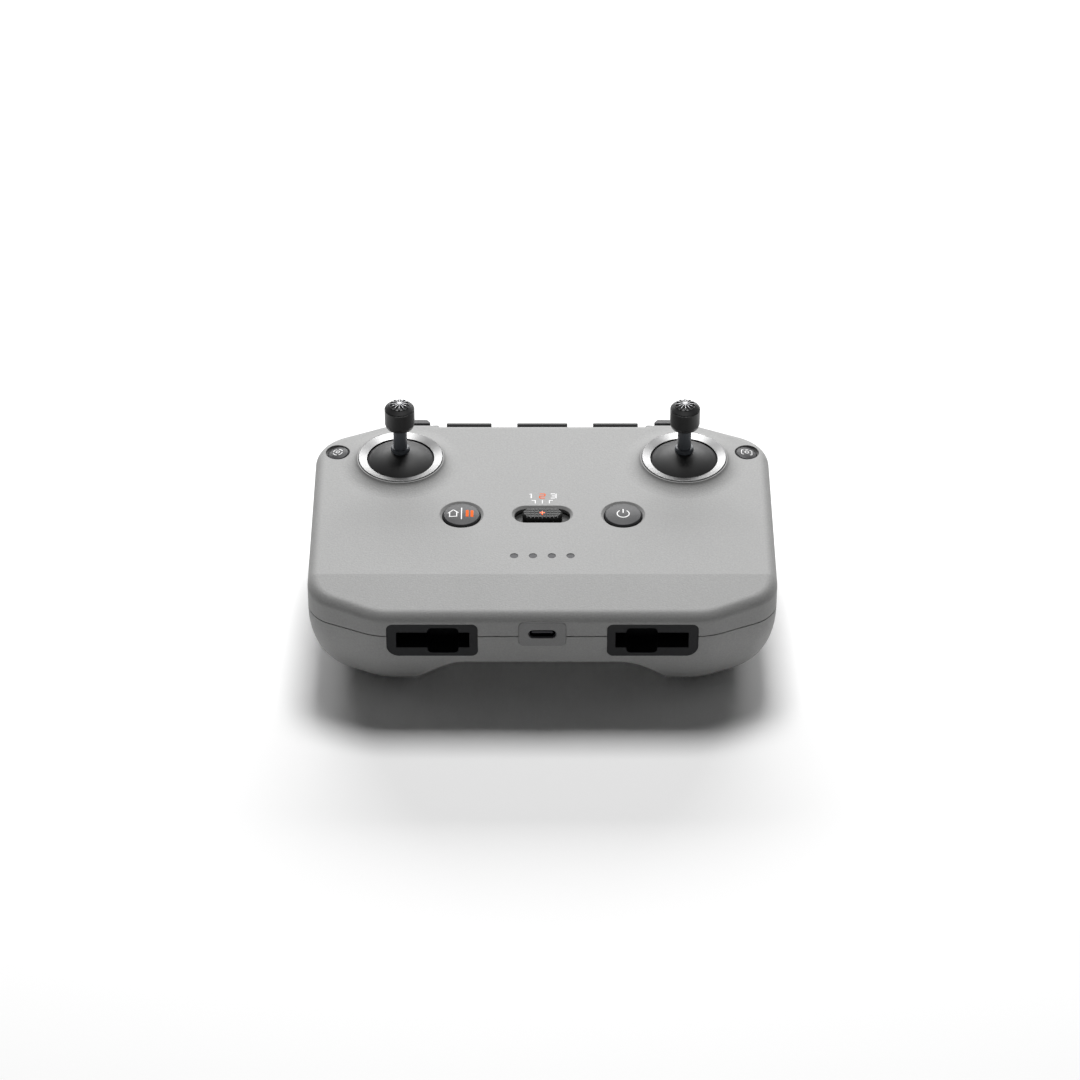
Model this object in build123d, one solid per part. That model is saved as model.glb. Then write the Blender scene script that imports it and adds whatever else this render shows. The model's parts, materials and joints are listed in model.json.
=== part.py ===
from build123d import *
import math
import os

os.makedirs("parts", exist_ok=True)

# Millimetres. Origin: middle of the bounding box, on the floor. +X right, +Y away from the user, +Z up.

# ---------------------------------------------------------------- driving dimensions
HALF_WIDTH = 74.975
FRONT = 52.1                # outermost front face: slot frames and port bezel
FRONT_WALL = 51.8
FAR_WALL = 50.7
NOTCH_WALL = 49.7           # far wall between the two shoulders
NOTCH_HALF = 34.0
NOTCH_SLANT = 3.0
FAR = 52.1                  # outermost far face: dial, shutter and phone holder bar
TOP_Z = 42.7
PARTING_Z = 31.7
MIDDLE_UNDERSIDE_Z = 20.0
WALL = 2.0
EDGE_ROUND = 3.5
INNER_EDGE_ROUND = 1.8
CREASE_Y = -33.4            # where the top face starts to slope down to the front
SLOPE_RUN, SLOPE_DROP = 17.5, 2.6
SEAM_DEPTH = 0.8            # shadow gap at the parting line
SEAM_HIGH = 0.3

STICK_X = 46.75
STICK_Y = 27.2
PIVOT_Z = 31.9
DOME_R = 16.2
DOME_HALF_ANGLE = 66.0
RING_R = 14.0
RING_INNER_R = 11.1
RING_TOP_Z = 45.2
RING_SEAT_Z = 43.6

BUTTON_X = 26.25
BUTTON_Y = -1.6
CAP_R = 6.05
SLIDER_Y = -1.4
SLIDER_TRAVEL = 2.3
SIDE_BUTTON_X = 67.7
SIDE_BUTTON_Y = 32.9
SIDE_BUTTON_TILT = 9.0
SIDE_BUTTON_SUNK = 0.3
SHOULDER_X = 43.5           # middle of the dial and of the shutter button
LED_XS = (-9.05, -3.02, 3.02, 9.05)
LED_Y = -23.8
LED_R = 1.3
BOARD_TOP_Z = 31.3
BOARD_THICK = 1.6
CELL_R = 9.15
CELL_LENGTH = 65.2

# Plan outline of the right half: outward normal of each side (degrees) and its distance from the middle.
SIDE_NORMALS = (-90.0, -65.6, 0.0, 65.3, 90.0)
SIDE_DISTANCES = (FRONT_WALL, 69.1, HALF_WIDTH, 67.2, FAR_WALL)
CORNER_ROUNDS = (20.0, 12.0, 15.0, 6.0)

# Quarter-ellipse half axes of the grips' undersides, one per side of the outline.
GRIP_DEPTH = 33.0
GRIP_REACH = (31.2, 31.0, 20.0, 25.5, 24.0)
GRIP_ANGLES = (0.0, 16.0, 31.0, 46.0, 60.0)


# ---------------------------------------------------------------- helpers
def box(x0, x1, y0, y1, z0, z1):
    """A box between two corners."""
    size = (x1 - x0, y1 - y0, z1 - z0)
    middle = ((x0 + x1) / 2, (y0 + y1) / 2, (z0 + z1) / 2)
    return Pos(*middle) * Box(*size)


def rod(x, y, z0, z1, r):
    """An upright cylinder."""
    return Pos(x, y, (z0 + z1) / 2) * Cylinder(r, z1 - z0)


def rod_x(x0, x1, y, z, r):
    """A cylinder lying along X."""
    return Pos((x0 + x1) / 2, y, z) * Rot(0, 90, 0) * Cylinder(r, x1 - x0)


def rod_y(y0, y1, x, z, r):
    """A cylinder lying along Y."""
    return Pos(x, (y0 + y1) / 2, z) * Rot(90, 0, 0) * Cylinder(r, y1 - y0)


def turned(points):
    """A solid of revolution about Z from (radius, height) points."""
    return revolve(Plane.XZ * make_face(Polyline(points, close=True)), Axis.Z)


def mirrored(shape):
    """The same shape on the other side of the middle plane."""
    return mirror(shape, Plane.YZ)


def save(name, shape):
    """Write one node, with every separate solid kept as its own body."""
    solids = shape.solids()
    body = solids[0] if len(solids) == 1 else Compound(children=list(solids))
    body.label = name
    export_step(body, f"parts/{name}.step")


def save_pair(name, shape):
    """Write the right-hand node and its mirror image on the left."""
    save(f"right_{name}", shape)
    save(f"left_{name}", mirrored(shape))


# ---------------------------------------------------------------- casing shapes
def line_meet(first, second):
    """Where two outline sides cross, each given as (normal in degrees, distance)."""
    a1, a2 = math.radians(first[0]), math.radians(second[0])
    det = math.sin(a2 - a1)
    x = (first[1] * math.sin(a2) - second[1] * math.sin(a1)) / det
    y = (second[1] * math.cos(a1) - first[1] * math.cos(a2)) / det
    return x, y


def outline(z, insets, extra_round=0.0):
    """The casing's plan outline at height z, each side moved in by its inset."""
    sides = [(n, d - i) for n, d, i in zip(SIDE_NORMALS, SIDE_DISTANCES, insets)]
    right = [line_meet(a, b) for a, b in zip(sides, sides[1:])]
    left = [(-x, y) for x, y in reversed(right)]
    rounds = [r + extra_round for r in CORNER_ROUNDS]
    rounds = rounds + rounds[::-1]
    wire = FilletPolyline(*(right + left), radius=rounds, close=True)
    return Pos(0, 0, z) * make_face(wire)


def notch(grow):
    """The recess in the far wall that the phone holder bar lies in."""
    y0 = NOTCH_WALL - grow
    near = NOTCH_HALF + grow
    far = near + NOTCH_SLANT
    face = make_face(Polyline([(-far, 60), (-near, y0), (near, y0), (far, 60)], close=True))
    return Pos(0, 0, -5) * extrude(face, 60)


def rim_edges(solid):
    """Edges between an upward face and a wall."""
    upward = [f for f in solid.faces() if f.normal_at().Z > 0.5]
    edges = [e for f in upward for e in f.edges()]
    return [e for e in edges if sum(1 for other in edges if other.is_same(e)) == 1]


def top_block(inset, edge_round, floor_z):
    """Upper casing as a full block, moved in by inset all round."""
    block = extrude(outline(floor_z, [inset] * 5, -inset), TOP_Z - inset - floor_z)
    slope = math.degrees(math.atan2(SLOPE_DROP, SLOPE_RUN))
    wedge = box(-90, 90, -60, 0, 0, 30)
    block -= Pos(0, CREASE_Y, TOP_Z - inset) * Rot(slope, 0, 0) * wedge
    block -= notch(inset)
    return fillet(rim_edges(block), edge_round)


def arch_profile(grow):
    """Front view of the space between the grips."""
    top = MIDDLE_UNDERSIDE_Z + grow
    with BuildSketch(Plane.XZ) as sketch:
        with BuildLine():
            knots = [(24.5, top), (30.0, top - 1.3), (35.8, top - 5.9), (40.6, top - 13.4), (44.4, -1.0)]
            right = [(x + grow, z) for x, z in knots]
            left = [(-x, z) for x, z in reversed(right)]
            Spline(right, tangents=[(1, 0), (0.4, -1)])
            Line(right[-1], left[0])
            Spline(left, tangents=[(0.4, 1), (1, 0)])
            Line(left[-1], right[0])
        make_face()
    return extrude(sketch.sketch, 70, both=True)


def grip_block(inset):
    """Lower casing as a full block: a tub with elliptical flanks, less the arch between the grips."""
    sections = []
    last = math.degrees(math.asin((PARTING_Z - inset) / GRIP_DEPTH))
    for angle in GRIP_ANGLES + (last,):
        part = 1 - math.cos(math.radians(angle))
        z = PARTING_Z - GRIP_DEPTH * math.sin(math.radians(angle))
        insets = [inset + reach * part for reach in GRIP_REACH]
        sections.append(outline(z, insets, extra_round=-inset))
    block = loft(sections)
    block -= notch(inset)
    return block - arch_profile(inset)


# ---------------------------------------------------------------- upper casing
LINER_X0, LINER_X1 = 20.5, 49.5
LINER_Z0, LINER_Z1 = 23.9, 36.65
LINER_BACK = -41.5
POCKET_FLOOR_Y = -42.7
SHAFT_SLOT = (23.15, 46.4, 27.3, 33.3)      # low and high X, low and high Z
HEAD_BAY = (26.6, 36.5, 25.2, 35.1)
BAY_ROUND = 1.5
FRAME_RECESS = 0.5
BEZEL_HALF, BEZEL_Z0, BEZEL_Z1, BEZEL_BACK = 7.6, 28.0, 37.6, -49.7
SCREW_SPOTS = ((25.0, -35.5), (25.0, 40.5))


def liner_block():
    """Outside shape of a stick storage liner on the right."""
    with BuildSketch(Plane.XZ.offset(FRONT)) as sketch:
        with BuildLine():
            low_near, low_far = (LINER_X0, LINER_Z0), (LINER_X1, LINER_Z0)
            high_far, high_near = (LINER_X1, LINER_Z1), (LINER_X0, LINER_Z1)
            FilletPolyline(low_near, low_far, high_far, high_near, radius=(2, 4, 2, 2), close=True)
        make_face()
    return extrude(sketch.sketch, -(FRONT + LINER_BACK))


def bezel_block():
    """Outside shape of the port bezel."""
    middle = (BEZEL_Z0 + BEZEL_Z1) / 2
    outline_shape = RectangleRounded(2 * BEZEL_HALF, BEZEL_Z1 - BEZEL_Z0, 1.8)
    face = Plane.XZ.offset(FRONT) * Pos(0, middle) * outline_shape
    return extrude(face, -(FRONT + BEZEL_BACK))


def ring_boss():
    """Smooth raised collar of the casing round a trim ring."""
    foot_r, foot_z = 20.6, TOP_Z - 0.02
    crest_r, crest_z = RING_R + 0.4, 44.9
    buried = TOP_Z - 1.0
    with BuildSketch(Plane.XZ) as sketch:
        with BuildLine():
            Line((10, buried), (foot_r, buried))
            Line((foot_r, buried), (foot_r, foot_z))
            knots = [(foot_r, foot_z), (15.9, TOP_Z + 0.85), (crest_r, crest_z)]
            Spline(knots, tangents=[(-1, 0.03), (-0.3, 1)])
            Line((crest_r, crest_z), (10, crest_z))
            Line((10, crest_z), (10, buried))
        make_face()
    return Pos(STICK_X, STICK_Y, 0) * revolve(sketch.sketch, Axis.Z)


def ring_hole():
    """Seat for the trim ring and the flared hole the dome moves under."""
    seat_r, throat_r, flare_r = RING_R + 0.055, 13.2, 14.7
    shape = turned([
        (0, 46), (seat_r, 46), (seat_r, RING_SEAT_Z), (throat_r, RING_SEAT_Z), (throat_r, 41.8),
        (flare_r, 40.5), (flare_r, 30), (0, 30),
    ])
    return Pos(STICK_X, STICK_Y, 0) * shape


def cap_hole(r, rim_r, rim_z):
    """Round hole with a chamfered rim, centred on the origin, mouth at rim_z."""
    clear, bevel, deep = 3, 0.8, 12
    return turned([
        (0, rim_z + clear), (rim_r, rim_z + clear), (rim_r, rim_z), (r, rim_z - bevel),
        (r, rim_z - deep), (0, rim_z - deep),
    ])


def stadium(length, width, z0, z1):
    """An upright prism with round ends, along X."""
    return Pos(0, 0, z0) * extrude(SlotOverall(length, width), z1 - z0)


SIDE_BUTTON_FRAME = Pos(SIDE_BUTTON_X, SIDE_BUTTON_Y, TOP_Z - SIDE_BUTTON_SUNK) * Rot(0, SIDE_BUTTON_TILT, 0)


def shoulder_opening():
    """Cut in a far shoulder for the dial or the shutter button."""
    mouth = box(SHOULDER_X - 6.9, SHOULDER_X + 6.9, 48.6, 60, 35.8, 50)
    throat = box(SHOULDER_X - 6.9, SHOULDER_X + 6.9, 44, 50, 35.8, 40.8)
    return mouth + throat


def make_upper():
    outer = top_block(0.0, EDGE_ROUND, PARTING_Z)
    inner = top_block(WALL, INNER_EDGE_ROUND, PARTING_Z - 1)
    boss = ring_boss()
    shell = outer + boss + mirrored(boss)
    shell -= inner
    for x, y in SCREW_SPOTS:
        post = rod(x, y, PARTING_Z, TOP_Z - 1, 3.0) - rod(x, y, PARTING_Z - 1, PARTING_Z + 7, 1.0)
        shell += post + mirrored(post)
    for hole in (ring_hole(), liner_block(), SIDE_BUTTON_FRAME * cap_hole(3.7, 4.0, 0), shoulder_opening()):
        shell -= hole
        shell -= mirrored(hole)
    shell -= bezel_block()
    shell -= extrude(outline(PARTING_Z, [0.0] * 5) - outline(PARTING_Z, [SEAM_DEPTH] * 5), SEAM_HIGH)
    button = Pos(BUTTON_X, BUTTON_Y, 0) * cap_hole(CAP_R + 0.3, 7.2, TOP_Z)
    shell -= button + mirrored(button)
    recess = extrude(Plane.XY.offset(TOP_Z) * SlotOverall(19.9, 9.35), -0.85, taper=45)
    shell -= Pos(0, SLIDER_Y, 0) * (recess + stadium(18.2, 7.65, 30, TOP_Z))
    for x in LED_XS:
        shell -= rod(x, LED_Y, 38, 44, LED_R)
    return shell


save("upper_casing", make_upper())


# ---------------------------------------------------------------- lower casing
HOLDER_MOUTH = (17.8, 23.2, 27.8)     # half width, low and high Z of the mouth in the far wall


def make_lower():
    shell = grip_block(0.0) - grip_block(WALL)
    for x, y in SCREW_SPOTS:
        post = rod(x, y, MIDDLE_UNDERSIDE_Z + 0.5, PARTING_Z, 3.0)
        shell += post + mirrored(post)
    for x, y in SCREW_SPOTS:
        hole = rod(x, y, 10, PARTING_Z + 1, 1.1) + rod(x, y, 10, MIDDLE_UNDERSIDE_Z + 3, 2.3)
        shell -= hole + mirrored(hole)
    liner = liner_block()
    shell -= liner + mirrored(liner)
    shell -= bezel_block()
    half, low, high = HOLDER_MOUTH
    shell -= box(-half, half, 44, 60, low, high)
    return shell


save("lower_casing", make_lower())


# ---------------------------------------------------------------- front face: stick storage and port
def make_liner():
    """Storage pocket for a removed stick: a slot for the shaft and a wider bay for the head."""
    slot_x0, slot_x1, slot_z0, slot_z1 = SHAFT_SLOT
    bay_x0, bay_x1, bay_z0, bay_z1 = HEAD_BAY
    body = liner_block() - box(0, 60, -60, FRAME_RECESS - FRONT, 0, 50)
    slot = box(slot_x0, slot_x1, -60, POCKET_FLOOR_Y, slot_z0, slot_z1)
    bay = box(bay_x0, bay_x1, -60, POCKET_FLOOR_Y, bay_z0, bay_z1)
    bay = fillet(bay.edges().filter_by(Axis.Y), BAY_ROUND)
    return body - slot - bay


save_pair("stick_slot_liner", make_liner())

PORT_HALF, PORT_Z, PORT_HIGH = 4.47, 33.0, 3.26


def port_prism(half, high, y0, y1):
    """A prism with the rounded outline of the charging port."""
    face = Plane.XZ.offset(-y0) * Pos(0, PORT_Z) * RectangleRounded(2 * half, high, high / 2 - 0.05)
    return extrude(face, -(y1 - y0))


bezel = bezel_block()
bezel = chamfer(bezel.faces().sort_by(Axis.Y)[0].edges(), 0.3)
save("usb_port_bezel", bezel - port_prism(PORT_HALF, PORT_HIGH, -60, -40))
SHELL_FRONT, SHELL_BACK, SHELL_WALL = -51.6, -44.3, 0.3
port_shell = port_prism(PORT_HALF, PORT_HIGH, SHELL_FRONT, SHELL_BACK)
port_bore = port_prism(PORT_HALF - SHELL_WALL, PORT_HIGH - 2 * SHELL_WALL, -60, SHELL_BACK - 1.0)
receptacle = port_shell - port_bore
receptacle += box(-3.35, 3.35, -51.0, -45.0, PORT_Z - 0.35, PORT_Z + 0.35)
save("usb_c_receptacle", receptacle)

# ---------------------------------------------------------------- main board and what it carries
board_z0 = BOARD_TOP_Z - BOARD_THICK
board = box(-27.5, 27.5, -31.5, 8.0, board_z0, BOARD_TOP_Z)
board += box(-19.0, 19.0, -48.5, -31.0, board_z0, BOARD_TOP_Z)
BOARD_SCREWS = ((24.5, -28.5), (24.5, 5.0))
for x, y in BOARD_SCREWS:
    board -= rod(x, y, 25, 35, 1.1) + rod(-x, y, 25, 35, 1.1)
save("main_board", board)

shield = box(-15, 15, -42, -28.5, BOARD_TOP_Z, 33.6) - box(-14.7, 14.7, -41.7, -28.8, 30, 33.3)
save("radio_shield", shield)


def flat_switch(top):
    """Small push switch standing on z = 0: square body, round plunger up to top."""
    return box(-2.2, 2.2, -2.2, 2.2, 0, top - 0.9) + rod(0, 0, top - 1.0, top, 1.2)


CAP_SWITCH_TOP = 4.0
for side, name in ((-1, "pause_home_switch"), (1, "power_switch")):
    save(name, Pos(side * BUTTON_X * 0.94, BUTTON_Y, BOARD_TOP_Z) * flat_switch(CAP_SWITCH_TOP))

slide_body = box(-7, 7, -3.2, 3.2, 0, 4.6) - box(-4.4, 4.4, -1.4, 1.4, 1.2, 5)
save("mode_switch", Pos(0, SLIDER_Y, BOARD_TOP_Z) * slide_body)

LED_TOP = TOP_Z - 0.12
lights = box(-11.0, 11.0, LED_Y - 1.6, LED_Y + 1.6, 36.4, 38.2)
for x in LED_XS:
    lights += rod(x, LED_Y, 38, LED_TOP, LED_R)
save("led_light_pipe", lights)
chip_half, chip_top = 0.8, 32.1
led_chips = []
for x in LED_XS:
    chip = box(x - chip_half, x + chip_half, LED_Y - chip_half, LED_Y + chip_half, BOARD_TOP_Z, chip_top)
    led_chips.append(chip)
save("led_chips", Compound(children=led_chips))

# ---------------------------------------------------------------- power: one cell in each grip
CELL_X, CELL_Z = 52.4, 12.7
cell = rod_y(-CELL_LENGTH / 2, CELL_LENGTH / 2, CELL_X, CELL_Z, CELL_R)
save_pair("battery_cell", cell)
contact = box(CELL_X - 4, CELL_X + 4, CELL_LENGTH / 2, CELL_LENGTH / 2 + 0.3, CELL_Z - 4, CELL_Z + 9)
contact += box(CELL_X - 4, CELL_X + 4, -CELL_LENGTH / 2 - 0.3, -CELL_LENGTH / 2, CELL_Z - 4, CELL_Z + 9)
save("cell_contacts", Compound(children=list(contact.solids()) + list(mirrored(contact).solids())))

# ---------------------------------------------------------------- stick gimbals (built round their own pivot)
HOUSING_R, HOUSING_INNER_R = 18.2, 16.85
HOUSING_FLOOR_Z, HOUSING_TOP_Z = 22.1, 34.3
EAR_OUT = 1.6               # housing wall to the middle of a screw ear
PIN_R, PIN_HOLE_R = 1.2, 1.25
TO_PIVOT = Pos(STICK_X, STICK_Y, PIVOT_Z)
SLOT_DEPTH = 7.3            # pivot to the slotted lever's bar


def gimbal_housing():
    z0, z1 = HOUSING_FLOOR_Z - PIVOT_Z, HOUSING_TOP_Z - PIVOT_Z
    body = rod(0, 0, z0, z1, HOUSING_R) - rod(0, 0, z0 + 1.0, z1 + 1, HOUSING_INNER_R)
    ear_r = HOUSING_R + EAR_OUT
    for angle in (45, 135, 225, 315):
        ear = rod(ear_r, 0, z1 - 3.5, z1, 1.9) - rod(0, 0, z0 - 1, z1 + 1, HOUSING_INNER_R)
        body += Rot(0, 0, angle) * ear
        body -= Rot(0, 0, angle) * rod(ear_r, 0, z1 - 5, z1 + 1, 0.8)
    body -= rod_y(-20, 20, 0, 0, PIN_HOLE_R)
    body -= rod_x(-20, 20, 0, 0, PIN_HOLE_R)
    return body


def gimbal_cradle():
    frame = box(-11, 11, -9.2, 9.2, -2.0, 2.0) - box(-6.6, 6.6, -6.8, 6.8, -3, 3)
    frame -= rod_x(-12, 12, 0, 0, PIN_HOLE_R)
    return frame + rod_y(9.0, 17.9, 0, 0, PIN_R) + rod_y(-17.9, -9.0, 0, 0, PIN_R)


def stick_hub():
    body = box(-6.0, 6.0, -3.6, 3.6, -3.0, 3.0) + rod(0, 0, 2.5, DOME_R - 1.4, 3.0)
    body += rod_x(5.9, 10.8, 0, 0, PIN_R) + rod_x(-10.8, -5.9, 0, 0, PIN_R)
    return body + rod(0, 0, -8.3, -2.5, 1.5) - rod(0, 0, 6.0, 16.0, 1.0)


def slotted_lever():
    lever = box(-13.4, 13.4, -3.0, 3.0, -8.1, -6.5)
    for side in (-1, 1):
        x0, x1 = sorted((side * 12.2, side * 13.4))
        lever += box(x0, x1, -3.0, 3.0, -7.0, 0) + rod_x(x0, x1, 0, 0, 3.0)
        x0, x1 = sorted((side * 13.3, side * 17.9))
        lever += rod_x(x0, x1, 0, 0, PIN_R)
    return lever - box(-4.6, 4.6, -1.9, 1.9, -9, -5)


def dome():
    outer = Sphere(DOME_R) - Sphere(DOME_R - 1.0)
    rim_z = DOME_R * math.cos(math.radians(DOME_HALF_ANGLE))
    return outer - box(-20, 20, -20, 20, -20, rim_z) - rod(0, 0, 0, 20, 1.0)


SHAFT_R = 2.25
COLLAR_R, COLLAR_TOP = 3.1, 17.2
HEAD_Z0, GROOVE_Z, SHOULDER_Z, HEAD_R = 25.2, 32.6, 33.7, 4.9
CROWN_R, CROWN_HIGH = 3.2, 0.95
TEETH = 12


def stick_shaft():
    shape = rod(0, 0, COLLAR_TOP - 1.0, HEAD_Z0 + 3.0, SHAFT_R)
    collar = [(0, COLLAR_TOP - 1.6), (COLLAR_R, COLLAR_TOP - 1.6), (COLLAR_R, COLLAR_TOP - 0.4),
              (COLLAR_R - 0.4, COLLAR_TOP), (0, COLLAR_TOP)]
    shape += turned(collar)
    shape -= Sphere(DOME_R)
    return shape + rod(0, 0, 10.0, COLLAR_TOP - 0.5, 0.95)


def stick_head():
    """Barrel grip with a groove under its shoulder and a toothed crown."""
    body = turned([
        (0, HEAD_Z0), (3.6, HEAD_Z0), (4.5, HEAD_Z0 + 0.5), (HEAD_R, HEAD_Z0 + 1.7),
        (HEAD_R, GROOVE_Z - 0.15), (HEAD_R - 0.3, GROOVE_Z), (HEAD_R - 0.2, GROOVE_Z + 0.2),
        (CROWN_R + 0.2, SHOULDER_Z), (CROWN_R, SHOULDER_Z + 0.2), (0, SHOULDER_Z + 0.35),
    ])
    with BuildSketch(Plane.YZ) as sketch:
        Polygon((-0.55, -0.4), (0.55, -0.4), (0.1, CROWN_HIGH), (-0.1, CROWN_HIGH), align=None)
    tooth = Pos(0, 0, SHOULDER_Z) * extrude(sketch.sketch, CROWN_R)
    tooth &= turned([
        (0, SHOULDER_Z - 0.5), (CROWN_R, SHOULDER_Z - 0.5), (CROWN_R, SHOULDER_Z + 0.45),
        (CROWN_R - 0.6, SHOULDER_Z + CROWN_HIGH - 0.1), (0, SHOULDER_Z + CROWN_HIGH + 0.05),
    ])
    for n in range(TEETH):
        body += Rot(0, 0, n * 360 / TEETH) * tooth
    body += turned([
        (0, SHOULDER_Z), (1.05, SHOULDER_Z), (1.05, SHOULDER_Z + CROWN_HIGH - 0.1),
        (0.8, SHOULDER_Z + CROWN_HIGH + 0.1), (0, SHOULDER_Z + CROWN_HIGH + 0.2),
    ])
    return body - rod(0, 0, HEAD_Z0 - 1, HEAD_Z0 + 3.0, SHAFT_R)


ring = turned([(RING_INNER_R, RING_TOP_Z - 0.75), (RING_R - 0.25, RING_TOP_Z), (RING_R, RING_TOP_Z - 0.2),
               (RING_R, RING_SEAT_Z), (12.25, RING_SEAT_Z), (RING_INNER_R, RING_TOP_Z - 0.95)])
sensor = box(-3.2, 3.2, 18.3, 19.6, -3.0, 3.0)
for part_name, shape in (
    ("gimbal_housing", gimbal_housing()),
    ("gimbal_cradle", gimbal_cradle()),
    ("stick_hub", stick_hub()),
    ("slotted_lever", slotted_lever()),
    ("dome_cover", dome()),
    ("stick_shaft", stick_shaft()),
    ("stick_head", stick_head()),
):
    save_pair(part_name, TO_PIVOT * shape)
sensors = [TO_PIVOT * Rot(0, 0, 180) * sensor, TO_PIVOT * Rot(0, 0, 90) * sensor]
save("gimbal_sensors", Compound(children=sensors + [mirrored(s) for s in sensors]))
save_pair("trim_ring", Pos(STICK_X, STICK_Y, 0) * ring)


# ---------------------------------------------------------------- buttons and slider on the top face
def button_cap(r, top, thick, flange_r, stem_end):
    """A domed cap with its flange and stem; heights are from the origin."""
    rise, bevel = 0.45, 0.35
    crown_r = ((r - bevel) ** 2 + rise ** 2) / (2 * rise)
    cap = turned([(0, top - thick), (r, top - thick), (r, top - bevel), (r - bevel, top), (0, top)])
    crown = Pos(0, 0, top + rise - crown_r) * Sphere(crown_r)
    cap += crown & rod(0, 0, top - 0.01, top + 1, r)
    cap += rod(0, 0, top - thick - 0.7, top - thick + 0.1, flange_r)
    return cap + rod(0, 0, stem_end, top - thick, 1.5)


cap = button_cap(CAP_R, TOP_Z + 0.1, 3.4, 7.3, BOARD_TOP_Z + CAP_SWITCH_TOP + 0.65)
save("pause_home_button", Pos(-BUTTON_X, BUTTON_Y, 0) * cap)
save("power_button", Pos(BUTTON_X, BUTTON_Y, 0) * cap)

knob_z0, knob_top = 40.4, 43.35
knob = stadium(12.9, 5.5, knob_z0, knob_top)
knob = chamfer(knob.edges().group_by(Axis.Z)[-1], 0.45)
for n in range(-4, 5):
    knob -= box(n * 1.25 - 0.14, n * 1.25 + 0.14, -3, 3, knob_top - 0.3, knob_top + 1)
for n in range(-1, 2):
    knob -= box(-7, 7, n * 1.25 - 0.14, n * 1.25 + 0.14, knob_top - 0.3, knob_top + 1)
window = box(-0.85, 0.85, -0.7, 0.7, knob_top - 0.9, knob_top - 0.05)
knob += stadium(23.6, 9.4, 39.2, 40.5)
knob += box(-1.6, 1.6, -0.9, 0.9, BOARD_TOP_Z + 2.2, 39.3)
save("mode_slider", Pos(0, SLIDER_Y, 0) * (knob - window))
save("mode_slider_window", Pos(0, SLIDER_Y, 0) * window)

# ---------------------------------------------------------------- side buttons, in their own tilted frame
side_cap = button_cap(3.6, 0.0, 3.2, 4.2, -4.5)
for side_name, cap_name, place in (
    ("left", "custom", lambda s: mirrored(SIDE_BUTTON_FRAME * s)),
    ("right", "photo_video", lambda s: SIDE_BUTTON_FRAME * s),
):
    save(f"{cap_name}_button", place(side_cap))
    save(f"{cap_name}_switch", place(Pos(0, 0, -6.85) * flat_switch(1.8)))
    save(f"{cap_name}_board", place(box(-2.6, 3.4, -4, 4, -7.65, -6.85)))

# ---------------------------------------------------------------- dial and shutter button in the shoulders
DIAL_PIVOT_Y = 46.6
DIAL_TOP = TOP_Z - 0.2


def shoulder_grip():
    """Bevelled grip, its middle at the origin in X, ribbed on the far face."""
    y0, y1 = 49.5, FAR
    foot, face_half = 6.0, 5.0
    right = [(foot, y0), (foot, y0 + 1.1), (face_half, y1)]
    left = [(-x, y) for x, y in reversed(right)]
    face = make_face(Polyline(right + left, close=True))
    grip = Pos(0, 0, 36.2) * extrude(face, DIAL_TOP - 36.2)
    grip = chamfer(grip.edges().group_by(Axis.Z)[-1], 0.35)
    for n in range(-3, 4):
        grip -= Pos(n * 1.3, y1 + 0.1, 39) * Cylinder(0.35, 20)
    return grip


dial = shoulder_grip() + box(-3.4, 3.4, 47.2, 49.7, 36.2, 40.3) + rod(0, DIAL_PIVOT_Y, 36.2, 40.3, 1.7)
dial -= rod(0, DIAL_PIVOT_Y, 35, 42, 0.95)
save("gimbal_dial", Pos(-SHOULDER_X, 0, 0) * dial)
save("dial_pin", rod(-SHOULDER_X, DIAL_PIVOT_Y, 34.4, 40.7, 0.88))
save("dial_sensor", box(-SHOULDER_X - 2.4, -SHOULDER_X + 2.4, 46.0, 48.2, 33.4, 34.4))

shutter = shoulder_grip() + box(-4.0, 4.0, 46.9, 49.7, 36.2, 40.3)
save("shutter_button", Pos(SHOULDER_X, 0, 0) * shutter)
save("shutter_switch", box(SHOULDER_X - 2.4, SHOULDER_X + 2.4, 46.0, 48.2, 33.4, 35.9))
shoulder_board = box(SHOULDER_X - 4.5, SHOULDER_X + 6.0, 46.0, 48.4, 32.4, 33.4)
save("shoulder_boards", Compound(children=[shoulder_board, mirrored(shoulder_board)]))

# ---------------------------------------------------------------- telescopic phone holder
HOLDER_BACK = -14.0
half, low, high = HOLDER_MOUTH
guide = box(-half - 1.2, half + 1.2, HOLDER_BACK, NOTCH_WALL - WALL, low - 1.0, high + 1.0)
guide -= box(-half, half, HOLDER_BACK - 1, 60, low, high)
save("holder_guide", guide)

gap = 0.2
carriage = box(-half + gap, half - gap, HOLDER_BACK + 2, NOTCH_WALL - 0.4, low + gap, high - gap)
tongue_half, tongue_z0, tongue_z1 = 15.9, 24.6, 26.4
carriage -= box(-tongue_half - gap, tongue_half + gap, HOLDER_BACK, 60, tongue_z0 - gap, tongue_z1 + gap)
save("holder_carriage", carriage)

bar_y0 = NOTCH_WALL + 0.35
bar = box(-33.2, 33.2, bar_y0, FAR, 22.6, 38.3)
bar = fillet(bar.edges().filter_by(Axis.Y), 2.5)
bar = fillet(bar.edges().group_by(Axis.Y)[-1], 0.9)
arm = bar + box(-tongue_half, tongue_half, HOLDER_BACK + 4, bar_y0 + 1, tongue_z0, tongue_z1)
pad_spans = ((-32.0, -17.0), (-8.4, 8.4), (17.0, 32.0))
pads = []
for x0, x1 in pad_spans:
    pad = box(x0, x1, bar_y0, bar_y0 + 1.7, 30.0, 41.4)
    pads.append(chamfer(pad.edges().group_by(Axis.Z)[-1], 0.4))
for pad in pads:
    arm -= pad
save("holder_arm", arm)
save("holder_pads", Compound(children=pads))

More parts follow.
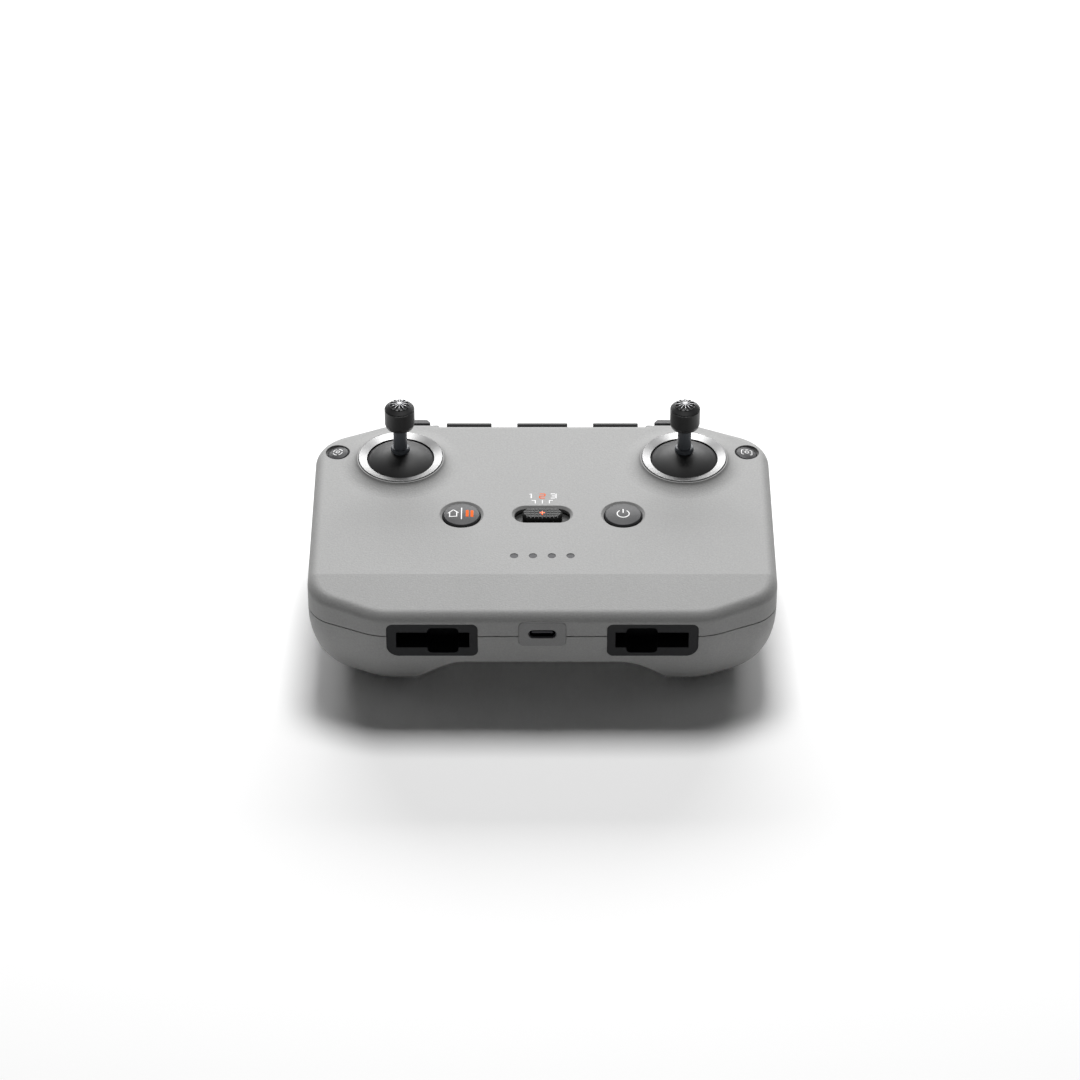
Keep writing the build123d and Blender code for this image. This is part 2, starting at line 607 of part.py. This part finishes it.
drum = rod_x(-5, 5, HOLDER_BACK - 4.5, 25.4, 3.1) - rod_x(-6, 6, HOLDER_BACK - 4.5, 25.4, 1.5)
save("holder_spring", drum)
save("holder_spring_axle", rod_x(-6.5, 6.5, HOLDER_BACK - 4.5, 25.4, 1.5))

# ---------------------------------------------------------------- antennas and fasteners
antenna = box(71.0, 71.8, -28.0, 8.0, 24.5, 37.5)
save("antennas", Compound(children=[antenna, mirrored(antenna)]))


def screw(length, r, head_r, head_high):
    """Head down, shank up, origin under the head."""
    slot = box(-0.25, 0.25, -1, 1, -head_high - 1, -head_high + 0.5)
    return rod(0, 0, -head_high, 0, head_r) + rod(0, 0, -0.1, length, r) - slot


casing_screws = []
for x, y in SCREW_SPOTS:
    for side in (-1, 1):
        casing_screws.append(Pos(side * x, y, MIDDLE_UNDERSIDE_Z + 3) * screw(14, 0.98, 2.1, 1.5))
save("casing_screws", Compound(children=casing_screws))
board_screws = []
for x, y in BOARD_SCREWS:
    for side in (-1, 1):
        board_screws.append(Pos(side * x, y, BOARD_TOP_Z) * Rot(180, 0, 0) * screw(3.0, 0.98, 1.9, 1.0))
save("board_screws", Compound(children=board_screws))
gimbal_screws = []
for side in (-1, 1):
    for angle in (45, 135, 225, 315):
        ear = Pos(HOUSING_R + EAR_OUT, 0, HOUSING_TOP_Z - 3.5 - PIVOT_Z)
        spot = Rot(0, 0, angle) * ear * screw(5.5, 0.78, 1.3, 0.8)
        gimbal_screws.append(Pos(side * STICK_X, STICK_Y, PIVOT_Z) * spot)
save("gimbal_screws", Compound(children=gimbal_screws))
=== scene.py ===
import json
import math

import bmesh
import bpy
from mathutils import Matrix, Vector


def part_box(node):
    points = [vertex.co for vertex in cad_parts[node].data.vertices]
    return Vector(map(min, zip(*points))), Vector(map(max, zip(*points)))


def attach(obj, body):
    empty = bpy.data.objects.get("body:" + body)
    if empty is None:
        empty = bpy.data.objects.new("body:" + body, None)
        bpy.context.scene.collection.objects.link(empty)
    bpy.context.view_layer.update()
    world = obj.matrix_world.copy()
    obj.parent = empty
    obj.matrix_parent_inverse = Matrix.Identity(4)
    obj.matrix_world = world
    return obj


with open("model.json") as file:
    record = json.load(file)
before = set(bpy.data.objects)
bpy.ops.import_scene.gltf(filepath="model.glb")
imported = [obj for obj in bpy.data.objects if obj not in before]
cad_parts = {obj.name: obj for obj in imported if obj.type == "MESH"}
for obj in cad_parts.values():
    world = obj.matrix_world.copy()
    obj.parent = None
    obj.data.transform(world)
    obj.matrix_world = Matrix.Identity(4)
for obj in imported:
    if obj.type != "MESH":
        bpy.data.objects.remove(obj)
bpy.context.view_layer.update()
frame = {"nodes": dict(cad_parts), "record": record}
MM = 0.001
WAVE_TURN = 20.0    # radians that a wave texture of scale 1 turns over one unit


# ---------------------------------------------------------------- materials
class Look:
    """A node material built step by step round one Principled shader."""

    def __init__(self, name, colour, roughness, metallic=0.0):
        self.material = bpy.data.materials.new(name)
        self.material.use_nodes = True
        self.tree = self.material.node_tree
        self.shader = self.tree.nodes["Principled BSDF"]
        self.shader.inputs["Base Color"].default_value = (*colour, 1.0)
        self.shader.inputs["Roughness"].default_value = roughness
        self.shader.inputs["Metallic"].default_value = metallic
        self.place = self.node("ShaderNodeTexCoord").outputs["Object"]

    def node(self, kind, **settings):
        made = self.tree.nodes.new(kind)
        for key, value in settings.items():
            setattr(made, key, value)
        return made

    def link(self, start, end):
        self.tree.links.new(start, end)

    def set(self, **values):
        """Constant values on the shader's own sockets."""
        for key, value in values.items():
            self.shader.inputs[key.replace("_", " ")].default_value = value
        return self

    def noise(self, size, detail=2.0, stretch=(1, 1, 1)):
        """Noise whose features are about size millimetres across."""
        scaled = self.node("ShaderNodeMapping")
        scaled.inputs["Scale"].default_value = stretch
        self.link(self.place, scaled.inputs["Vector"])
        made = self.node("ShaderNodeTexNoise")
        made.inputs["Scale"].default_value = 1.0 / (size * MM)
        made.inputs["Detail"].default_value = detail
        self.link(scaled.outputs["Vector"], made.inputs["Vector"])
        return made.outputs["Fac"]

    def ramp(self, value, low, high, start=0.0, end=1.0):
        """value from start to end mapped on to low to high."""
        made = self.node("ShaderNodeMapRange")
        for key, number in (("From Min", start), ("From Max", end), ("To Min", low), ("To Max", high)):
            made.inputs[key].default_value = number
        self.link(value, made.inputs["Value"])
        return made.outputs["Result"]

    def mix(self, factor, first, second):
        """A colour between two, each a tuple or a socket."""
        made = self.node("ShaderNodeMix", data_type="RGBA")
        self.link(factor, made.inputs["Factor"])
        for key, value in (("A", first), ("B", second)):
            socket = [s for s in made.inputs if s.name == key and s.type == "RGBA"][0]
            if isinstance(value, tuple):
                socket.default_value = (*value, 1.0)
            else:
                self.link(value, socket)
        return [s for s in made.outputs if s.type == "RGBA"][0]

    def over(self, factor, colour):
        """Lay a colour over the base colour where factor is 1."""
        base = self.shader.inputs["Base Color"].links[0].from_socket
        self.link(self.mix(factor, base, colour), self.shader.inputs["Base Color"])

    def edges(self, radius):
        """A mask that is 1 on edges of about radius millimetres and 0 on the flats,
        and the normal rounded over those edges."""
        bevel = self.node("ShaderNodeBevel", samples=4)
        bevel.inputs["Radius"].default_value = radius * MM
        flat = self.node("ShaderNodeNewGeometry").outputs["Normal"]
        dot = self.node("ShaderNodeVectorMath", operation="DOT_PRODUCT")
        self.link(bevel.outputs["Normal"], dot.inputs[0])
        self.link(flat, dot.inputs[1])
        return self.ramp(dot.outputs["Value"], 1.0, 0.0, 0.8, 0.99), bevel.outputs["Normal"]

    def bump(self, height, depth, strength=1.0, normal=None):
        """Relief of depth millimetres; returns the new normal."""
        made = self.node("ShaderNodeBump")
        made.inputs["Strength"].default_value = strength
        made.inputs["Distance"].default_value = depth * MM
        self.link(height, made.inputs["Height"])
        if normal is not None:
            self.link(normal, made.inputs["Normal"])
        return made.outputs["Normal"]


def lighter(colour, factor):
    return tuple(min(1.0, c * factor) for c in colour)


def moulded(name, colour, roughness, grain=0.22, depth=0.012, edge_sheen=1.25, patch=18.0, edge=0.25):
    """Moulded plastic: spark-eroded grain, faint patches of handling, and a painted highlight that makes the
    edges lighter.
    """
    look = Look(name, colour, roughness)
    mask, soft_normal = look.edges(edge)
    patches = look.noise(patch, detail=3.0)
    speck = look.noise(grain * 1.2, detail=1.0)
    base = look.mix(look.ramp(patches, 0.0, 1.0, 0.35, 0.65), lighter(colour, 0.985), lighter(colour, 1.015))
    base = look.mix(look.ramp(speck, 0.0, 0.6, 0.5, 0.75), base, lighter(colour, 1.14))
    base = look.mix(look.ramp(speck, 0.6, 0.0, 0.25, 0.5), base, lighter(colour, 0.89))
    # painted highlight: the edges are made lighter, standing in for light catching them
    base = look.mix(look.ramp(mask, 0.0, 0.55), base, lighter(colour, edge_sheen))
    look.link(base, look.shader.inputs["Base Color"])
    rough = look.ramp(patches, roughness - 0.02, roughness + 0.02, 0.3, 0.7)
    look.link(rough, look.shader.inputs["Roughness"])
    normal = look.bump(look.noise(grain, detail=2.0), depth, 1.0, soft_normal)
    look.link(normal, look.shader.inputs["Normal"])
    return look


def turned_metal(name, colour, roughness, centre, pitch=0.377):
    """Lathe-turned metal: grooves pitch millimetres apart round an upright axis through centre,
    and faint clouds in the polish."""
    look = Look(name, colour, roughness, metallic=1.0)
    mask, soft_normal = look.edges(0.12)
    offset = look.node("ShaderNodeVectorMath", operation="SUBTRACT")
    offset.inputs[1].default_value = centre
    look.link(look.place, offset.inputs[0])
    rings = look.node("ShaderNodeTexWave", wave_type="RINGS", rings_direction="Z")
    rings.inputs["Scale"].default_value = 2 * math.pi / (WAVE_TURN * pitch * MM)
    rings.inputs["Distortion"].default_value = 0.4
    rings.inputs["Detail"].default_value = 1.0
    look.link(offset.outputs["Vector"], rings.inputs["Vector"])
    cloud = look.noise(6.0, detail=2.0)
    base = look.mix(look.ramp(cloud, 0.0, 1.0, 0.35, 0.65), lighter(colour, 0.97), lighter(colour, 1.02))
    # painted highlight: the edges are made half again as light, standing in for light glinting on the rims
    look.link(look.mix(mask, base, lighter(colour, 1.5)), look.shader.inputs["Base Color"])
    look.link(look.ramp(cloud, roughness - 0.02, roughness + 0.02, 0.3, 0.7), look.shader.inputs["Roughness"])
    normal = look.bump(rings.outputs["Fac"], 0.004, 0.6, soft_normal)
    look.link(normal, look.shader.inputs["Normal"])
    return look


def plain_metal(name, colour, roughness):
    """Stamped or machined metal with fine scratches along one way."""
    look = Look(name, colour, roughness, metallic=1.0)
    mask, soft_normal = look.edges(0.15)
    scratch = look.noise(0.12, detail=2.0, stretch=(1, 0.06, 1))
    base = look.mix(look.ramp(scratch, 0.0, 1.0, 0.3, 0.7), lighter(colour, 0.85), lighter(colour, 1.08))
    # painted highlight: the edges are made lighter, standing in for light glinting on them
    look.link(look.mix(mask, base, lighter(colour, 1.35)), look.shader.inputs["Base Color"])
    rough = look.ramp(scratch, roughness - 0.06, roughness + 0.1, 0.3, 0.7)
    look.link(rough, look.shader.inputs["Roughness"])
    look.link(look.bump(scratch, 0.006, 0.5, soft_normal), look.shader.inputs["Normal"])
    return look


def ink(name, colour, roughness=0.5, glow=0.0):
    """Pad-printed ink: slightly mottled, with a faint orange-peel."""
    look = Look(name, colour, roughness)
    mottle = look.noise(0.35, detail=2.0)
    base = look.mix(mottle, lighter(colour, 0.88), lighter(colour, 1.08))
    look.link(base, look.shader.inputs["Base Color"])
    look.link(look.bump(mottle, 0.006), look.shader.inputs["Normal"])
    look.link(look.ramp(mottle, roughness - 0.08, roughness + 0.08), look.shader.inputs["Roughness"])
    # painted glow: the ink is given light of its own, though no lamp sits behind it
    if glow:
        look.set(Emission_Color=(*colour, 1.0), Emission_Strength=glow)
    return look


CASING_GREY = (0.27, 0.27, 0.268)
looks = {
    "casing": moulded("casing_grain", CASING_GREY, 0.6, grain=0.5, depth=0.07, edge_sheen=1.06, edge=0.35),
    "liner": moulded("liner_black", (0.0085, 0.009, 0.0105), 0.5, grain=0.25, edge_sheen=1.8),
    "bezel": moulded("bezel_grey", (0.2, 0.2, 0.2), 0.5, grain=0.25, edge_sheen=1.2),
    "dome": moulded("dome_black", (0.02, 0.02, 0.0205), 0.5, grain=0.1, depth=0.003, edge_sheen=2.0),
    "shaft": moulded("shaft_slate", (0.085, 0.095, 0.11), 0.36, grain=0.12, depth=0.003, edge_sheen=1.5),
    "button": moulded("button_grey", (0.03, 0.03, 0.032), 0.4, grain=0.14, depth=0.004, edge_sheen=1.8, edge=0.2),
    "slider": moulded("slider_black", (0.012, 0.012, 0.012), 0.4, grain=0.12, depth=0.004, edge_sheen=2.6,
                      edge=0.12),
    "light_pipe": moulded("smoked_lens", (0.035, 0.035, 0.04), 0.62, grain=0.2, depth=0.002, edge_sheen=1.4,
                          edge=0.1),
    "pad_rubber": moulded("pad_rubber", (0.012, 0.012, 0.012), 0.7, grain=0.3, depth=0.02, edge_sheen=1.8),
    "holder": moulded("holder_grey", (0.07, 0.07, 0.072), 0.5, grain=0.28, depth=0.015, edge_sheen=1.4),
    "board": moulded("solder_mask", (0.012, 0.08, 0.035), 0.35, grain=0.6, depth=0.01, edge_sheen=1.6),
    "cell_wrap": moulded("cell_wrap", (0.04, 0.12, 0.34), 0.3, grain=1.5, depth=0.02, edge_sheen=1.3),
    "inner_plastic": moulded("inner_black", (0.03, 0.03, 0.03), 0.5, grain=0.3, edge_sheen=1.6),
    "plain_steel": plain_metal("plain_steel", (0.55, 0.55, 0.54), 0.32),
    # painted glow: the slider's red window shines by emission, not by a lamp
    "slider_window": ink("slider_window_painted_glow", (1.0, 0.1, 0.015), 0.3, glow=2.5),
    "white_ink": ink("white_ink", (0.8, 0.8, 0.8)),
    "orange_ink": ink("orange_ink", (0.85, 0.13, 0.01), roughness=0.8),
}
DULL_SPECULAR = 0.25
for slot in ("button", "slider", "liner", "orange_ink"):
    looks[slot].set(Specular_IOR_Level=DULL_SPECULAR)
port_look = plain_metal("port_steel", (0.06, 0.06, 0.065), 0.45)


def middle(node):
    """Centre of a CAD node's box."""
    low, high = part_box(node)
    return (Vector(low) + Vector(high)) / 2


def head_look(node):
    """Black grip whose crown ridges are bright metal: the change lies at two depths under the crown's top."""
    black, bright = (0.0085, 0.0085, 0.009), (0.22, 0.22, 0.225)
    black_below, bright_above = 0.85 * MM, 0.3 * MM
    look = moulded(f"{node}_paint", black, 0.4, grain=0.12, depth=0.004, edge_sheen=2.4, edge=0.15)
    height = look.node("ShaderNodeSeparateXYZ")
    look.link(look.place, height.inputs["Vector"])
    crown_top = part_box(node)[1][2]
    polished = look.ramp(height.outputs["Z"], 0.0, 1.0, crown_top - black_below, crown_top - bright_above)
    look.over(polished, bright)
    look.link(polished, look.shader.inputs["Metallic"])
    return look


slot_of = {s["node"]: s["material_slot"] for s in frame["record"]["subparts"]}
for node, obj in frame["nodes"].items():
    slot = slot_of[node]
    if slot == "ring_metal":
        look = turned_metal(f"{node}_turned", (0.2, 0.2, 0.2), 0.36, middle(node))
    elif slot == "stick_head":
        look = head_look(node)
    elif node == "usb_c_receptacle":
        look = port_look
    else:
        look = looks[slot]
    obj.data.materials.clear()
    obj.data.materials.append(look.material)


# ---------------------------------------------------------------- printed marks
# Where the marks lie: the caps' domed crowns and the casing's flat top, as the CAD model has them.
CROWN_R, CROWN_RISE = 5.7 * MM, 0.45 * MM
SIDE_CROWN_R, SIDE_CROWN_RISE = 3.25 * MM, 0.45 * MM
SIDE_TILT = math.radians(9)
SIDE_BUTTON = (67.7 * MM, 32.9 * MM, 42.4 * MM)    # the right side button's crown seat
TOP_Z = 42.7 * MM


class Print:
    """Inked strokes on one surface, each a thin solid that reaches LIFT above and below it."""

    LIFT = 0.03 * MM

    def __init__(self, name, look, body, surface, slot):
        self.name = name
        self.mesh = bmesh.new()
        self.look = look
        self.body = body
        self.surface = surface
        self.slot = slot

    def ribbon(self, points, width, closed=False):
        """A stroke of one width along points, in millimetres."""
        count = len(points)
        sides = []
        for i, point in enumerate(points):
            before = points[(i - 1) % count] if closed or i else points[i]
            after = points[(i + 1) % count] if closed or i < count - 1 else points[i]
            along = (Vector(after) - Vector(before)).normalized()
            across = Vector((-along.y, along.x)) * width / 2
            sides.append((Vector(point) + across, Vector(point) - across))
        for i in range(count if closed else count - 1):
            a, b = sides[i], sides[(i + 1) % count]
            self.quad(a[0], a[1], b[1], b[0])

    def quad(self, *corners):
        self.mesh.faces.new([self.mesh.verts.new((c[0] * MM, c[1] * MM, 0)) for c in corners])

    def bar(self, x0, x1, y0, y1):
        self.ribbon([((x0 + x1) / 2, y0 + (y1 - y0) * t / 4) for t in range(5)], x1 - x0)

    def arc(self, x, y, r, start, end, width, steps=40):
        turn = [math.radians(start + (end - start) * i / steps) for i in range(steps + 1)]
        self.ribbon([(x + r * math.cos(a), y + r * math.sin(a)) for a in turn], width)

    def digit(self, strokes, x, y, width):
        """A digit drawn with straight strokes about its middle."""
        for stroke in strokes:
            self.ribbon([(x + sx, y + sy) for sx, sy in stroke], width)

    def done(self):
        """Thicken the strokes, lay them on the surface and make them a piece that rides on the body."""
        bmesh.ops.remove_doubles(self.mesh, verts=self.mesh.verts, dist=0.001 * MM)
        bmesh.ops.recalc_face_normals(self.mesh, faces=self.mesh.faces)
        shell = bmesh.ops.extrude_face_region(self.mesh, geom=list(self.mesh.faces))
        raised = {v for v in shell["geom"] if isinstance(v, bmesh.types.BMVert)}
        for vert in self.mesh.verts:
            lift = self.LIFT if vert in raised else -self.LIFT
            vert.co = self.surface(vert.co.x, vert.co.y, lift)
        bmesh.ops.recalc_face_normals(self.mesh, faces=self.mesh.faces)
        data = bpy.data.meshes.new(self.name)
        self.mesh.to_mesh(data)
        self.mesh.free()
        data.materials.append(self.look.material)
        obj = bpy.data.objects.new(self.name, data)
        bpy.context.collection.objects.link(obj)
        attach(obj, self.body)


def on_crown(apex, radius, rise, tilt=0.0):
    """Surface of a domed cap: a spherical crown of that radius and rise about its apex, tilted outward."""
    ball = (radius ** 2 + rise ** 2) / (2 * rise)
    turn = Matrix.Rotation(tilt, 3, "Y")

    def place(x, y, lift):
        z = math.sqrt(ball ** 2 - x ** 2 - y ** 2) - ball
        return apex + turn @ Vector((x, y, z + lift))

    return place


def cap_apex(node):
    """Highest point of an upright cap."""
    centre = middle(node)
    return Vector((centre.x, centre.y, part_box(node)[1][2]))


def side_crown(side):
    """Crown surface of a tilted side button: side is -1 on the left, 1 on the right."""
    tilt = side * SIDE_TILT
    seat = Vector((side * SIDE_BUTTON[0], SIDE_BUTTON[1], SIDE_BUTTON[2]))
    apex = seat + Matrix.Rotation(tilt, 3, "Y") @ Vector((0, 0, SIDE_CROWN_RISE))
    return on_crown(apex, SIDE_CROWN_R, SIDE_CROWN_RISE, tilt)


def on_flat(x0, y0, z0):
    """Level surface at height z0, with x0, y0 as its middle."""

    def place(x, y, lift):
        return Vector((x0 + x, y0 + y, z0 + lift))

    return place


def power_mark():
    """A ring with a gap at its top, and an upright bar in the gap."""
    stroke, ring_r, ring_y, gap_angle = 0.36, 1.95, -0.2, 70
    bar_low, bar_high = 0.1, 2.3
    surface = on_crown(cap_apex("power_button"), CROWN_R, CROWN_RISE)
    mark = Print("power_mark", looks["white_ink"], "power_button", surface, "button")
    mark.arc(0, ring_y, ring_r, 90 + gap_angle / 2, 450 - gap_angle / 2, stroke)
    mark.bar(-stroke / 2, stroke / 2, bar_low, bar_high)
    mark.done()


def home_mark():
    """Outline of a house, a divider and two pause bars. Lengths are in millimetres from the crown's apex."""
    surface = on_crown(cap_apex("pause_home_button"), CROWN_R, CROWN_RISE)
    stroke, divider_reach = 0.34, 3.1
    house_x, half_wall, half_eaves = -2.7, 1.15, 1.75
    ground_y, wall_top, eaves_y, ridge_y = -1.75, 0.65, 0.25, 1.95
    bar_places, bar_width, bar_reach = (1.85, 3.4), 0.9, 1.75
    roof_steps = 4

    white = Print("home_mark", looks["white_ink"], "pause_home_button", surface, "button")
    white.bar(-stroke / 2, stroke / 2, -divider_reach, divider_reach)
    roof = []
    for step in range(-roof_steps, roof_steps + 1):
        away = step / roof_steps
        roof.append((house_x + half_eaves * away, ridge_y + (eaves_y - ridge_y) * abs(away)))
    white.ribbon(roof, stroke)
    for side in (-1, 1):
        wall_x = house_x + side * half_wall
        white.bar(wall_x - stroke / 2, wall_x + stroke / 2, ground_y, wall_top)
    half_base = half_wall - stroke / 2
    base_y = ground_y + stroke / 2
    white.ribbon([(house_x - half_base, base_y), (house_x, base_y), (house_x + half_base, base_y)], stroke)
    white.done()

    orange = Print("pause_mark", looks["orange_ink"], "pause_home_button", surface, "button")
    for bar_x in bar_places:
        orange.bar(bar_x - bar_width / 2, bar_x + bar_width / 2, -bar_reach, bar_reach)
    orange.done()


def mode_scale():
    """Digits and ticks behind the mode slider: the middle one is orange."""
    digit_y, pitch, weight = 8.5, 3.6, 0.4
    wide, high = 0.85, 1.15
    past = high + weight / 2
    flag_wide, flag_drop, arm = 0.6, 0.25, 0.5
    one = [[(0, -high), (0, 0), (0, past)], [(-flag_wide, high - flag_drop), (0, high)]]
    two = [[(-wide, high), (wide, high)], [(wide, high), (wide, 0)], [(wide, 0), (-wide, 0)],
           [(-wide, 0), (-wide, -high)], [(-wide, -high), (wide, -high)]]
    three = [[(-wide, high), (wide, high)], [(wide, past), (wide, -past)],
             [(-arm, 0), (wide, 0)], [(-wide, -high), (wide, -high)]]
    tick_near, tick_far, tick_x, tick_foot, stroke = 4.4, 6.2, 2.3, 1.0, 0.3
    white = Print("mode_scale", looks["white_ink"], "casing", on_flat(0, 0, TOP_Z), "casing")
    orange = Print("mode_scale_middle", looks["orange_ink"], "casing", on_flat(0, 0, TOP_Z), "casing")
    white.digit(one, -pitch, digit_y, weight)
    orange.digit(two, 0, digit_y, weight)
    white.digit(three, pitch, digit_y, weight)
    white.bar(-stroke / 2, stroke / 2, tick_near, tick_far)
    for side in (-1, 1):
        white.bar(side * tick_x - stroke / 2, side * tick_x + stroke / 2, tick_near, tick_far)
        corner = tick_x + stroke / 2
        foot_y = tick_far - stroke / 2
        white.ribbon([(side * corner, foot_y), (side * (corner + tick_foot), foot_y)], stroke)
    white.done()
    orange.done()


def side_marks():
    """A ring of dashes on the custom button and a camera pictogram on the photo and video button."""
    stroke, circle_steps = 0.24, 20

    dash_count, dash_r, dash_gap, dash_stroke, dash_steps, hub_r = 4, 1.55, 24, 0.26, 12, 0.55
    dash_pitch = 360 / dash_count
    dial = Print("custom_mark", looks["white_ink"], "custom_button", side_crown(-1), "button")
    for n in range(dash_count):
        start, end = dash_pitch * n + dash_gap / 2, dash_pitch * (n + 1) - dash_gap / 2
        dial.arc(0, 0, dash_r, start, end, dash_stroke, dash_steps)
    dial.arc(0, 0, hub_r, 0, 360, stroke, circle_steps)
    dial.done()

    half_x, half_y, round_r, corner_steps = 1.75, 1.2, 0.4, 3
    lens_r, lens_y = 0.62, -0.05
    hood_half, hood_gap = 0.6, 0.35
    camera_mark = Print("camera_mark", looks["white_ink"], "photo_video_button", side_crown(1), "button")
    loop = []
    for corner, (sx, sy) in enumerate(((1, 1), (-1, 1), (-1, -1), (1, -1))):
        for step in range(corner_steps + 1):
            turn = math.radians(90 * corner + 90 * step / corner_steps)
            loop.append((sx * (half_x - round_r) + round_r * math.cos(turn),
                         sy * (half_y - round_r) + round_r * math.sin(turn)))
    camera_mark.ribbon(loop, stroke, closed=True)
    camera_mark.arc(0, lens_y, lens_r, 0, 360, stroke, circle_steps)
    hood_y = half_y + hood_gap
    camera_mark.ribbon([(-hood_half, hood_y), (hood_half, hood_y)], stroke)
    camera_mark.done()


power_mark()
home_mark()
mode_scale()
side_marks()

# ---------------------------------------------------------------- stage, lights, camera
FLOOR_SIDE = 6.0
floor_mesh = bpy.data.meshes.new("floor")
half = FLOOR_SIDE / 2
floor_corners = [(-half, -half, 0), (half, -half, 0), (half, half, 0), (-half, half, 0)]
floor_mesh.from_pydata(floor_corners, [], [(0, 1, 2, 3)])
floor = bpy.data.objects.new("floor", floor_mesh)
bpy.context.collection.objects.link(floor)
floor_look = Look("floor_paper", (0.9, 0.9, 0.9), 0.9)
floor_look.link(floor_look.bump(floor_look.noise(1.2, 4.0), 0.01), floor_look.shader.inputs["Normal"])
floor_mesh.materials.append(floor_look.material)

WORLD_STRENGTH = 0.09
world = bpy.data.worlds.new("studio")
bpy.context.scene.world = world
world.use_nodes = True
background = world.node_tree.nodes["Background"]
background.inputs["Color"].default_value = (1.0, 1.0, 1.0, 1.0)
background.inputs["Strength"].default_value = WORLD_STRENGTH

LIGHT_TARGET = (0, 0.0, 0.03)


def soft_box(name, place, width, depth, power):
    """A rectangular area light aimed at the object's middle."""
    light = bpy.data.lights.new(name, "AREA")
    light.shape = "RECTANGLE"
    light.size = width
    light.size_y = depth
    light.energy = power
    obj = bpy.data.objects.new(name, light)
    obj.location = place
    aim = Vector(LIGHT_TARGET) - Vector(place)
    obj.rotation_euler = aim.to_track_quat("-Z", "Y").to_euler()
    bpy.context.collection.objects.link(obj)


soft_box("key", place=(0.03, 0.4, 1.23), width=0.45, depth=0.45, power=14.5)
soft_box("back_panel", place=(0, 1.3, 0.74), width=1.7, depth=0.5, power=24.0)

CAMERA_PLACE = (-0.00076, -1.09616, 0.85713)
CAMERA_ELEVATION = 37.0
CAMERA_LENS = 140.0
SENSOR_WIDTH = 36.0
camera_data = bpy.data.cameras.new("camera")
camera_data.lens = CAMERA_LENS
camera_data.sensor_width = SENSOR_WIDTH
camera = bpy.data.objects.new("camera", camera_data)
camera.location = CAMERA_PLACE
camera.rotation_euler = (math.radians(90 - CAMERA_ELEVATION), 0, 0)
bpy.context.collection.objects.link(camera)
bpy.context.scene.camera = camera
bpy.context.scene.view_settings.view_transform = "Standard"
